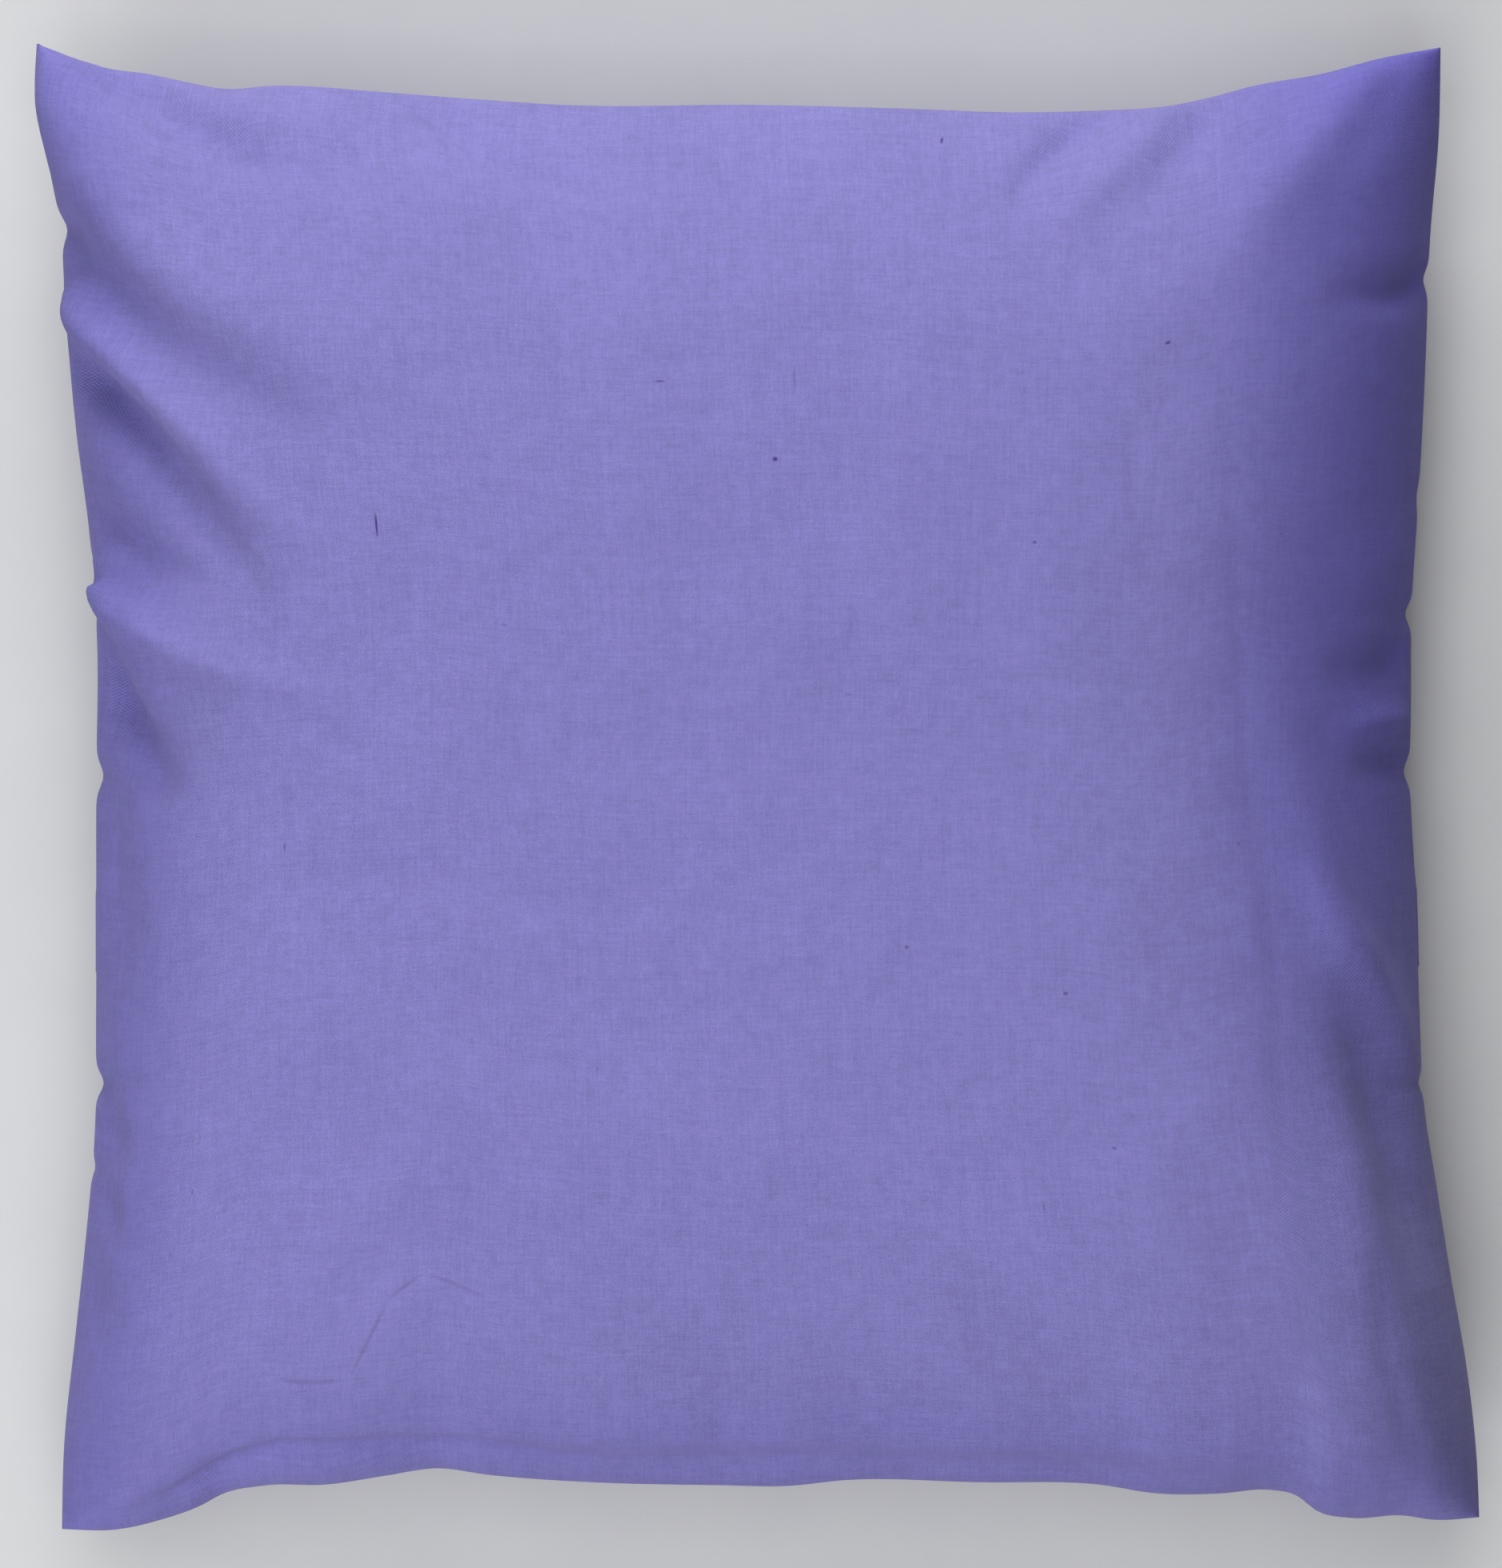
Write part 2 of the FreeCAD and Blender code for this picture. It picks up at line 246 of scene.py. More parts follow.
def line_profile(x, y, points, width):
    """How near each place is to a line through points, 1 on it, and how far along it, 0 to 1."""
    points = np.array(points, float)
    lengths = np.linalg.norm(np.diff(points, axis=0), axis=1)
    done = np.concatenate([[0], np.cumsum(lengths)])
    nearest = np.full(x.shape, 1e9)
    along = np.zeros(x.shape)
    for a, b, start, length in zip(points[:-1], points[1:], done, lengths):
        q = ((x - a[0]) * (b[0] - a[0]) + (y - a[1]) * (b[1] - a[1])) / length**2
        q = np.clip(q, 0, 1)
        distance = np.hypot(x - a[0] - q * (b[0] - a[0]), y - a[1] - q * (b[1] - a[1]))
        closer = distance < nearest
        nearest = np.where(closer, distance, nearest)
        along = np.where(closer, (start + q * length) / done[-1], along)
    return np.exp(-((nearest / width) ** 2)), along


def seam_height(s, t):
    """The seam line's height, lower along the sides and where the empty corners droop."""
    u, v = 2 * s - 1, 2 * t - 1
    sag = lerp(LEFT_SAG, RIGHT_SAG, s) * u**6 * (1 - v**8)
    return SEAM_HEIGHT - CORNER_DROOP * np.abs(u * v) ** 5 - sag


def edge_distance(s, t):
    """How far a place is from the nearest side, in millimetres along the cloth."""
    across = np.minimum(s, 1 - s)
    along = np.minimum(t, 1 - t)
    return 2 * HALF_SPAN * np.minimum(across, along)


def bulge(s, t, left, right, bottom, top):
    """How full the pillow is, 0 at the seam to 1 in the middle.

    Each side has a power, higher for a flatter middle, and a root, higher for a steeper edge."""
    u, v = 2 * s - 1, 2 * t - 1
    full = 1.0
    for place, before, after in ((u, left, right), (v, bottom, top)):
        power = np.where(place < 0, before[0], after[0])
        root = np.where(place < 0, before[1], after[1])
        full = full * np.clip(1 - np.abs(place) ** power, 0, 1) ** (1 / root)
    return full


def seam_tuck(s, t):
    """How far the cloth tucks in at the very edge, along X and along Y, where the thread pulls it."""
    def pull(q):
        return SEAM_GROOVE * np.exp(-((2 * HALF_SPAN * q / GROOVE_WIDTH) ** 2))

    return pull(s) - pull(1 - s), pull(t) - pull(1 - t)


def rolled_edge(distance):
    """The cloth turns under at the seam in a quarter circle."""
    inside = np.clip(distance / SEAM_ROLL, 0, 1)
    return SEAM_ROLL * np.sqrt(1 - (1 - inside) ** 2)


def normals(points):
    """Unit normals of a grid of points, on the side from which +t is a left turn from +s."""
    along_s = np.gradient(points, axis=0)
    along_t = np.gradient(points, axis=1)
    across = np.cross(along_s, along_t)
    return across / np.maximum(np.linalg.norm(across, axis=2, keepdims=True), 1e-9)


def near_seam(distance, reach):
    """0 at the seam, 1 well away from it."""
    return 1 - np.exp(-((distance / reach) ** 2))


def upward_bulge(s, t):
    """How full the upper half is: fuller towards the bottom right corner than further up that side."""
    start, end = RIGHT_CHANGES
    up_the_side = (PILLOW_LENGTH * (t - 0.5) - start) / (end - start)
    right_power = lerp(RIGHT_POWERS[0], RIGHT_POWERS[1], np.clip(up_the_side, 0, 1))
    return bulge(s, t, (5.0, 1.8), (right_power, 1.5), (8.0, 1.7), (5.5, 1.5))


def full_face(s, t):
    """The upper face before it settles: a bulge inside the seam."""
    x, y = flat_outline(s, t)
    edge = seam_height(s, t) + rolled_edge(edge_distance(s, t))
    return np.stack([x, y, lerp(edge, TOP_HEIGHT, upward_bulge(s, t))], axis=2)


def seen_from_above(points):
    """Where places look to be in plan from the camera, at the scale of the seam's height."""
    scale = (EYE_HEIGHT - SEAM_HEIGHT) / (EYE_HEIGHT - points[..., 2])
    return points[..., 0] * scale, points[..., 1] * scale


def face_surface(s, t):
    """The upper face as it lies: settled, with its folds, creases and slight waves."""
    points = full_face(s, t) + settled("face", s, t)
    x, y = seen_from_above(points)
    lift = waves(x, y, FACE_WAVES)
    folds = np.zeros(x.shape)
    for line, height, width, fade in FOLDS:
        near, along = line_profile(x, y, line, width)
        folds += height * near * (1 - along**fade)
    for line, height, width in CREASES:
        near, along = line_profile(x, y, line, width)
        lift += height * near * np.clip(5 * along * (1 - along), 0, 1)
    distance = edge_distance(s, t)
    lift = lift * near_seam(distance, FACE_WAVE_REACH) + folds * near_seam(distance, FOLD_REACH)
    points = points + normals(points) * lift[..., None]
    tuck_x, tuck_y = seam_tuck(s, t)
    return points + np.stack([tuck_x, tuck_y, 0 * s + PANEL_GAP], axis=2)


def full_underside(s, t):
    """The underside before it settles: the same seam line, and a bulge the other way."""
    x, y = flat_outline(s, t)
    distance = edge_distance(s, t)
    full = bulge(s, t, (4.0, 1.3), (4.0, 1.3), (4.4, 1.3), (4.4, 1.3))
    z = seam_height(s, t) - rolled_edge(distance) - UNDERSIDE_DROP * full
    wave = waves(x, y, UNDERSIDE_WAVES)
    outside, inside = PINCH_RIDGE
    for pinches, side in ((LEFT_PINCHES, -1), (RIGHT_PINCHES, 1)):
        for place, depth, width in pinches:
            ridge = [(outside * side, place), (inside * side, place * PINCH_RIDGE_TURN)]
            near, along = line_profile(x, y, ridge, width * PINCH_RIDGE_WIDTH)
            wave = wave + PINCH_RIDGE_HEIGHT * depth * near * (1 - along)
    z = z + wave * near_seam(distance, UNDERSIDE_WAVE_REACH)
    return np.stack([x, y, rest_on(UNDERSIDE_REST, z)], axis=2)


def underside_surface(s, t):
    """The underside as it lies: settled, and flat where it rests."""
    points = full_underside(s, t) + settled("underside", s, t)
    tuck_x, tuck_y = seam_tuck(s, t)
    z = rest_on(UNDERSIDE_REST, points[..., 2])
    x, y = points[..., 0] + tuck_x, points[..., 1] + tuck_y
    for end, place, width, depth in PEEKS:
        from_seam = 2 * HALF_SPAN * (t if end < 0 else 1 - t)
        beyond = from_seam / PEEK_REACH * np.exp(1 - from_seam / PEEK_REACH)
        y = y + end * depth * beyond * np.exp(-(((x - place) / width) ** 2))
    return np.stack([x, y, z - PANEL_GAP], axis=2)


def rest_on(floor, z):
    """Heights no lower than a floor, rounded off where they meet it."""
    above = z - floor
    q = np.clip(0.5 + 0.5 * above / FLOOR_BLEND, 0, 1)
    return floor + above * q + FLOOR_BLEND * q * (1 - q)


# ---- cloth simulation ---------------------------------------------------------------------

SIM_COLUMNS = 91
SIM_ROWS = 93
SIM_SCALE = 0.01
SIM_FRAMES = 20
# the flat panels, drawn tight over the filling
SIM_FLAT = (198.0, 205.0)
SIM_PRESSURE = 3.0
FURTHEST_MOVE = 6.0
SHARE = {"face": 0.7, "underside": 0.85}
# places where the face stays smooth: where they are in plan, and how far they reach
CALM_PLACES = [((-75.0, -80.0), 55.0), ((84.0, -84.0), 34.0)]
CALM_SHARE = 0.85
SMOOTHING_PASSES = 2
SMOOTHING_SHARE = 0.6
moved = {}


def settled(side, s, t):
    """How far the simulation moved a face at each place, by cubic interpolation of its grid."""
    if side not in moved:
        return np.zeros(s.shape + (3,))
    grid = moved[side]
    total = 0
    weights = []
    for place, count in ((s, SIM_COLUMNS), (t, SIM_ROWS)):
        at = np.clip(place, 0, 1) * (count - 1)
        cell = np.clip(np.floor(at).astype(int), 0, count - 2)
        q = at - cell
        curve = [-0.5 * q**3 + q**2 - 0.5 * q, 1.5 * q**3 - 2.5 * q**2 + 1,
                 -1.5 * q**3 + 2 * q**2 + 0.5 * q, 0.5 * q**3 - 0.5 * q**2]
        weights.append([(np.clip(cell + k - 1, 0, count - 1), curve[k]) for k in range(4)])
    for i, across in weights[0]:
        for j, along in weights[1]:
            total = total + grid[i, j] * (across * along)[..., None]
    return total


def smoothed(grid):
    """A grid with each inner point moved towards its neighbours' middle, a few times over."""
    for _ in range(SMOOTHING_PASSES):
        middle = (grid[:-2, 1:-1] + grid[2:, 1:-1] + grid[1:-1, :-2] + grid[1:-1, 2:]) / 4
        grid = grid.copy()
        grid[1:-1, 1:-1] = lerp(grid[1:-1, 1:-1], middle, SMOOTHING_SHARE)
    return grid


def even_grid(columns, rows):
    """s and t over a whole panel, evenly spaced."""
    return np.meshgrid(np.linspace(0, 1, columns), np.linspace(0, 1, rows), indexing="ij")


def run_cloth(cover, seam_numbers, flat_key):
    """Runs the cloth simulation on the joined faces, and returns where their points end up."""
    seam = cover.vertex_groups.new(name="seam")
    seam.add(seam_numbers, 1.0, "REPLACE")
    solver = cover.modifiers.new("cloth", "CLOTH")
    solver.collision_settings.use_collision = False
    cloth = solver.settings
    cloth.rest_shape_key = flat_key
    cloth.vertex_group_mass = "seam"
    cloth.quality = 6
    cloth.mass = 0.3
    cloth.tension_stiffness = 40
    cloth.compression_stiffness = 40
    cloth.shear_stiffness = 10
    cloth.bending_stiffness = 2
    cloth.use_pressure = True
    cloth.uniform_pressure_force = SIM_PRESSURE
    cloth.effector_weights.gravity = 0
    for frame_number in range(1, SIM_FRAMES + 1):
        bpy.context.scene.frame_set(frame_number)
    result = cover.evaluated_get(bpy.context.evaluated_depsgraph_get()).to_mesh()
    places = np.empty(len(result.vertices) * 3)
    result.vertices.foreach_get("co", places)
    return places.reshape(-1, 3) / SIM_SCALE


def settle_cover():
    """Blows the two faces up as cloth that was cut flat and sewn along the seam, which stays put."""
    s, t = even_grid(SIM_COLUMNS, SIM_ROWS)
    face, underside = full_face(s, t), full_underside(s, t)
    inner = np.zeros(s.shape, bool)
    inner[1:-1, 1:-1] = True
    numbers = {"face": np.arange(s.size).reshape(s.shape)}
    numbers["underside"] = numbers["face"].copy()
    numbers["underside"][inner] = s.size + np.arange(inner.sum())
    flat = np.stack([SIM_FLAT[0] * (s - 0.5), SIM_FLAT[1] * (t - 0.5), 1.0 * inner], axis=2)
    flat_below = flat * (1, 1, -1)
    start = np.concatenate([face.reshape(-1, 3), underside[inner]])
    cut = np.concatenate([flat.reshape(-1, 3), flat_below[inner]])
    faces = []
    for side, flip in (("face", False), ("underside", True)):
        n = numbers[side]
        quads = np.stack([n[:-1, :-1], n[1:, :-1], n[1:, 1:], n[:-1, 1:]], axis=2).reshape(-1, 4)
        faces += (quads[:, ::-1] if flip else quads).tolist()
    mesh = bpy.data.meshes.new("settling_cover")
    mesh.from_pydata((start * SIM_SCALE).tolist(), [], faces)
    cover = bpy.data.objects.new("settling_cover", mesh)
    bpy.context.scene.collection.objects.link(cover)
    cover.shape_key_add(name="filled")
    flat_key = cover.shape_key_add(name="flat")
    flat_key.data.foreach_set("co", (cut * SIM_SCALE).ravel())
    places = run_cloth(cover, numbers["face"][~inner].tolist(), flat_key)
    calm = 1.0
    for place, reach in CALM_PLACES:
        away = np.linalg.norm(face[..., :2] - place, axis=2)
        calm = calm * (1 - CALM_SHARE * np.exp(-((away / reach) ** 4)))
    for side, before, share in (("face", face, calm), ("underside", underside, 1.0)):
        move = places[numbers[side]] - before
        length = np.linalg.norm(move, axis=2)
        capped = FURTHEST_MOVE * np.tanh(length / FURTHEST_MOVE) / np.maximum(length, 1e-9)
        moved[side] = smoothed(move * (capped * SHARE[side] * share)[..., None])
    bpy.data.objects.remove(cover)
    bpy.data.meshes.remove(mesh)
    bpy.context.scene.frame_set(1)


settle_cover()

# ---- meshes -------------------------------------------------------------------------------

# grid steps, first across and then along
FACE_STEPS = (232, 238)
FLAP_STEPS = (196, 132)
SEAM_STEPS = [0, 0.12, 0.35, 0.7, 1.3]


def cloth_steps(count, start=0.0, end=1.0, fine_start=True, fine_end=True):
    """Places from start to end, close together at the ends that are seams, an even number of steps."""
    fine = np.array(SEAM_STEPS) / (2 * HALF_SPAN)
    low = start + fine if fine_start else np.array([start])
    high = end - fine[::-1] if fine_end else np.array([end])
    middle = np.linspace(low[-1], high[0], count + 1)[1:-1]
    return np.concatenate([low, middle, high])


def make_mesh(name, points, faces, cloth=None):
    mesh = bpy.data.meshes.new(name)
    mesh.from_pydata((points * MM).tolist(), [], faces)
    mesh.update()
    mesh.polygons.foreach_set("use_smooth", [True] * len(mesh.polygons))
    if cloth is not None:
        attribute = mesh.attributes.new("cloth_mm", "FLOAT_VECTOR", "POINT")
        attribute.data.foreach_set("vector", cloth.astype(np.float32).ravel())
    piece = bpy.data.objects.new(name, mesh)
    bpy.context.scene.collection.objects.link(piece)
    return piece


def grid_faces(columns, rows, first, flip):
    """The quads of a grid of columns by rows points, numbered from first."""
    i, j = np.meshgrid(np.arange(columns - 1), np.arange(rows - 1), indexing="ij")
    a = first + (i * rows + j).ravel()
    quads = np.stack([a, a + rows, a + rows + 1, a + 1], axis=1)
    if flip:
        quads = quads[:, ::-1]
    return quads.tolist()


def grid_rim(columns, rows, first):
    """The point numbers round a grid's edge, in order."""
    bottom = [i * rows for i in range(columns)]
    right = [(columns - 1) * rows + j for j in range(1, rows)]
    top = [i * rows + rows - 1 for i in range(columns - 2, -1, -1)]
    left = [j for j in range(rows - 2, 0, -1)]
    return [first + n for n in bottom + right + top + left]


def shell(name, outer, inner, cloth, outward):
    """A closed cloth panel from its outer grid and an inner one with half as many steps.

    outward is 1 where the outer grid's normals, by the order of its points, face out."""
    columns, rows = outer.shape[:2]
    few_columns, few_rows = inner.shape[:2]
    first_inner = columns * rows
    faces = grid_faces(columns, rows, 0, outward < 0)
    faces += grid_faces(few_columns, few_rows, first_inner, outward > 0)
    outside = grid_rim(columns, rows, 0)
    inside = grid_rim(few_columns, few_rows, first_inner)
    count = len(inside)
    for n in range(count):
        a, b, c = outside[2 * n], outside[2 * n + 1], outside[(2 * n + 2) % len(outside)]
        d, e = inside[n], inside[(n + 1) % count]
        triangles = [(a, d, b), (b, d, e), (b, e, c)]
        faces += [t if outward > 0 else t[::-1] for t in triangles]
    points = np.concatenate([outer.reshape(-1, 3), inner.reshape(-1, 3)])
    places = np.concatenate([cloth.reshape(-1, 3), cloth[::2, ::2].reshape(-1, 3)])
    return make_mesh(name, points, faces, places)


# the cover's front as it is cut
COVER_WIDTH = 215.0
COVER_LENGTH = 220.0


def cloth_places(s, t):
    """Where each place is on the flat cloth, in millimetres."""
    return np.stack([COVER_WIDTH * (s - 0.5), COVER_LENGTH * (t - 0.5), 0 * s], axis=2)


# each side of a grid: (its places, the axis that crosses it, which way along that axis is inward)
GRID_SIDES = {
    "left": (np.s_[0, :], 0, 1),
    "right": (np.s_[-1, :], 0, -1),
    "bottom": (np.s_[:, 0], 1, 1),
    "top": (np.s_[:, -1], 1, -1),
}


def inner_grid(outer, side, seams):
    """Every other place of a cover panel's outer grid, moved inside by the cloth's thickness.

    side is 1 for the face and -1 for the underside. Along the seams the places stay level with the
    outer grid's, and move in instead."""
    inner = (outer - side * normals(outer) * CLOTH)[::2, ::2].copy()
    for seam in seams:
        edge = GRID_SIDES[seam][0]
        inner[edge] = outer[::2, ::2][edge]
    for seam in seams:
        edge, axis, inward = GRID_SIDES[seam]
        inner[edge + (axis,)] += inward * CLOTH
    return inner


def cover_front():
    s, t = np.meshgrid(cloth_steps(FACE_STEPS[0]), cloth_steps(FACE_STEPS[1]), indexing="ij")
    outer = face_surface(s, t)
    inner = inner_grid(outer, 1, ("left", "right", "bottom", "top"))
    return shell("pillow_front", outer, inner, cloth_places(s, t), 1)


# the back is two flaps that overlap: the upper one outside, the lower one within it
UPPER_FLAP_EDGE = 0.375
LOWER_FLAP_EDGE = 0.625
HEM_WIDTH = 14.0
HEM_LAYERS = 0.45
HEM_STEP = 0.8
# the stitching is this far from the turned edge inside the hem, and pulls a dent in it
HEM_STITCH_INSET = 1.5
STITCH_DENT = 0.16
STITCH_DENT_WIDTH = 0.7
FLAP_GAP = 0.5
STEP_LENGTH = 7.0
UNDERSIDE_LENGTH = 212.0


def hem_thickness(from_edge):
    """How much thicker the cloth is at a distance from a flap's folded edge."""
    from_stitches = from_edge - HEM_WIDTH + HEM_STITCH_INSET
    dent = STITCH_DENT * np.exp(-((from_stitches / STITCH_DENT_WIDTH) ** 2))
    inside = np.clip((HEM_WIDTH - from_edge) / HEM_STEP + 0.5, 0, 1)
    return HEM_LAYERS * ease(inside) - dent


def along_cloth(t):
    """A step in t as millimetres of the underside."""
    return UNDERSIDE_LENGTH * t


def upper_flap_surface(s, t):
    outer = underside_surface(s, t)
    thicker = hem_thickness(along_cloth(t - UPPER_FLAP_EDGE))
    return outer - normals(outer) * thicker[..., None]


def lower_flap_surface(s, t):
    outer = underside_surface(s, t)
    under_flap = np.clip(along_cloth(t - UPPER_FLAP_EDGE) / STEP_LENGTH + 0.9, 0, 1)
    drop = (CLOTH + HEM_LAYERS + FLAP_GAP) * ease(under_flap)
    drop = drop - hem_thickness(along_cloth(LOWER_FLAP_EDGE - t))
    return outer + normals(outer) * drop[..., None]


def back_flap(name, surface, along, seams):
    """A flap of the back, from where its grid's rows are along the cloth."""
    s, t = np.meshgrid(cloth_steps(FLAP_STEPS[0]), along, indexing="ij")
    outer = surface(s, t)
    return shell(name, outer, inner_grid(outer, -1, seams), cloth_places(s, t), -1)


def cover_back_upper():
    along = cloth_steps(FLAP_STEPS[1], UPPER_FLAP_EDGE, 1.0, fine_start=False)
    return back_flap("pillow_back_upper_flap", upper_flap_surface, along, ("left", "right", "top"))


def cover_back_lower():
    along = cloth_steps(FLAP_STEPS[1], 0.0, LOWER_FLAP_EDGE, fine_end=False)
    return back_flap("pillow_back_lower_flap", lower_flap_surface, along, ("left", "right", "bottom"))


# ---- inner bag and filling ----------------------------------------------------------------

BAG_SCALE = 0.925
BAG_TOP = TOP_HEIGHT - 6.0
BAG_DEPTH = 27.0
BAG_FLOOR = 3.0
BAG_POINTS = 97
BAG_WAVES = 0.25
BAG_WAVE_SIZE = 9
BAG_WAVE_REACH = 4
BAG_INNER_SCALE = 0.995
FILLING_SCALE = 0.9
FILLING_INSET = 2.2
FILLING_FLOOR = BAG_FLOOR + 1.4
FILLING_POINTS = 121
HUSK = 3.0
HUSK_LUMPS = 0.45
HUSK_LUMP_REACH = 3


def bag_surface(s, t, side, scale, inset, floor, edge):
    """A smooth pillow form inside the cover: its upper half for side 1, else its lower half."""
    x, y = flat_outline(s, t)
    if side > 0:
        z = lerp(seam_height(s, t) + edge, BAG_TOP - inset, upward_bulge(s, t))
    else:
        full = bulge(s, t, (4.0, 1.2), (4.0, 1.2), (4.0, 1.2), (4.0, 1.2))
        z = rest_on(floor, seam_height(s, t) - edge - (BAG_DEPTH - inset) * full)
    return np.stack([x * scale, y * scale, z], axis=2)


def bag_panel(name, side):
    s, t = even_grid(BAG_POINTS, BAG_POINTS)
    outer = bag_surface(s, t, side, BAG_SCALE, 0, BAG_FLOOR, CLOTH)
    lift = BAG_WAVES * noise_field(outer[..., 0], outer[..., 1], BAG_WAVE_SIZE, SEED + 8 + side)
    lift = lift * near_seam(edge_distance(s, t), BAG_WAVE_REACH)
    outer[..., 2] += lift
    inner = bag_surface(s, t, side, BAG_SCALE, CLOTH, BAG_FLOOR + CLOTH, 0)[::2, ::2].copy()
    inner[..., 2] += lift[::2, ::2]
    inner[..., :2] *= BAG_INNER_SCALE
    return shell(name, outer, inner, cloth_places(s, t), side)


def husk_filling():
    """The husks as one heaped body, lumpy all over."""
    s, t = even_grid(FILLING_POINTS, FILLING_POINTS)
    top = bag_surface(s, t, 1, FILLING_SCALE, FILLING_INSET, 0, 0)
    underside = bag_surface(s, t, -1, FILLING_SCALE, FILLING_INSET, FILLING_FLOOR, 0)
    away = near_seam(edge_distance(s, t), HUSK_LUMP_REACH)
    for surface, seed in ((top, SEED + 11), (underside, SEED + 12)):
        lumps = noise_field(surface[..., 0], surface[..., 1], HUSK, seed)
        surface[..., 2] += HUSK_LUMPS * lumps * away
    columns, rows = s.shape
    faces = grid_faces(columns, rows, 0, False)
    below = grid_faces(columns, rows, columns * rows, True)
    rim_top = grid_rim(columns, rows, 0)
    same = {n + columns * rows: n for n in rim_top}
    faces += [[same.get(n, n) for n in face] for face in below]
    points = np.concatenate([top.reshape(-1, 3), underside.reshape(-1, 3)])
    used = sorted({n for face in faces for n in face})
    number = {n: i for i, n in enumerate(used)}
    faces = [[number[n] for n in face] for face in faces]
    places = np.concatenate([cloth_places(s, t).reshape(-1, 3)] * 2)
    return make_mesh("husk_filling", points[used], faces, places[used])


# ---- stitches -----------------------------------------------------------------------------

THREAD_RADIUS = 0.15
# along the hems, as parts of the pillow's width: (first stitch, limit for the last, pitch, length)
HEM_ROW = (0.02, 0.972, 0.0163, 0.0128)
HEM_STITCH_SUNK = 0.03
# along the seams, as parts of the side's length: (first stitch, limit for the last, pitch)
SEAM_ROW = (0.015, 0.986, 0.0125)
SEAM_STITCH_REACH = 0.3
SEAM_STITCH_SUNK = 0.28
ROW_STEP = 0.002
DASH_SIDES = 7
# (place along the dash, radius, height) as parts of the dash's length, radius and arch
DASH_SHAPE = [(0.0, 0.25, 0.0), (0.08, 0.8, 0.35), (0.28, 1.0, 0.85), (0.5, 1.0, 1.0), (0.72, 1.0, 0.85),
              (0.92, 0.8, 0.35), (1.0, 0.25, 0.0)]
DASH_ARCH = 0.1


def dashes(name, starts, ends, outward):
    """A row of stitches, each a short arched piece of thread from its start to its end."""
    points, faces, places = [], [], []
    turns = np.arange(DASH_SIDES) * 2 * math.pi / DASH_SIDES
    for start, end, out in zip(starts, ends, outward):
        line = end - start
        length = np.linalg.norm(line)
        across = np.cross(out, line / length)
        across /= np.linalg.norm(across)
        first = len(points)
        for along, radius, height in DASH_SHAPE:
            centre = start + line * along + out * DASH_ARCH * height
            for turn in turns:
                offset = THREAD_RADIUS * radius * (math.cos(turn) * across + math.sin(turn) * out)
                points.append(centre + offset)
                places.append((along * length, turn, 0))
        for ring in range(len(DASH_SHAPE) - 1):
            for k in range(DASH_SIDES):
                a = first + ring * DASH_SIDES + k
                b = first + ring * DASH_SIDES + (k + 1) % DASH_SIDES
                faces.append((a, b, b + DASH_SIDES, a + DASH_SIDES))
        last = first + (len(DASH_SHAPE) - 1) * DASH_SIDES
        faces.append([first + k for k in range(DASH_SIDES)][::-1])
        faces.append([last + k for k in range(DASH_SIDES)])
    return make_mesh(name, np.array(points), faces, np.array(places))


def surface_row(surface, s, t_line):
    """Places along a row on the underside, and the surface's normals there, facing out."""
    beside = t_line + np.array([-ROW_STEP, 0, ROW_STEP])
    points = surface(*np.meshgrid(s, beside, indexing="ij"))
    return points[:, 1], -normals(points)[:, 1]


def hem_row(name, surface, t_line):
    """Top stitching along a flap's hem."""
    first, limit, pitch, length = HEM_ROW
    s = np.arange(first, limit, pitch)
    start, out = surface_row(surface, s, t_line)
    end, _ = surface_row(surface, s + length, t_line)
    return dashes(name, start - HEM_STITCH_SUNK * out, end - HEM_STITCH_SUNK * out, out)


def ladder_row(name, side, scale=1.0):
    """A seam's stitches where they cross from one panel to the other, all along one side."""
    place = np.arange(*SEAM_ROW)
    sides = {"left": (0 * place, place, (-1, 0, 0)), "right": (0 * place + 1, place, (1, 0, 0)),
             "bottom": (place, 0 * place, (0, -1, 0)), "top": (place, 0 * place + 1, (0, 1, 0))}
    s, t, outward = sides[side]
    x, y = flat_outline(s, t)
    outward = np.array(outward, float)
    line = np.stack([x * scale, y * scale, seam_height(s, t)], axis=1) - outward * SEAM_STITCH_SUNK
    up = np.array([0, 0, SEAM_STITCH_REACH])
    return dashes(name, line - up, line + up, np.repeat(outward[None, :], len(place), axis=0))


# ---- making the pieces --------------------------------------------------------------------

front = cover_front()
back_upper = cover_back_upper()
back_lower = cover_back_lower()
bag_front = bag_panel("inner_bag_front", 1)
bag_back = bag_panel("inner_bag_back", -1)
husks = husk_filling()
hem_line = (HEM_WIDTH - HEM_STITCH_INSET) / along_cloth(1.0)
upper_hem = hem_row("upper_flap_hem_stitching", upper_flap_surface, UPPER_FLAP_EDGE + hem_line)
lower_hem = hem_row("lower_flap_hem_stitching", lower_flap_surface, LOWER_FLAP_EDGE - hem_line)
SIDES = ("left", "right", "top", "bottom")
cover_seams = {side: ladder_row(f"cover_seam_{side}", side) for side in SIDES}
bag_seams = {side: ladder_row(f"bag_seam_{side}", side, BAG_SCALE) for side in SIDES}

# ---- materials ----------------------------------------------------------------------------


def on_cloth(blots):
    """Blots given by their places in plan on the face, moved to their places on the flat cloth."""
    s, t = even_grid(200, 200)
    seen_x, seen_y = seen_from_above(face_surface(s, t))
    cloth = cloth_places(s, t)
    placed = []
    for x, y, *rest in blots:
        nearest = np.argmin(np.hypot(seen_x - x, seen_y - y))
        cloth_x, cloth_y, _ = cloth.reshape(-1, 3)[nearest]
        placed.append((float(cloth_x), float(cloth_y), *rest))
    return placed


def new_material(name):
    material = bpy.data.materials.new(name)
    material.use_nodes = True
    tree = material.node_tree
    tree.nodes.clear()
    return material, tree


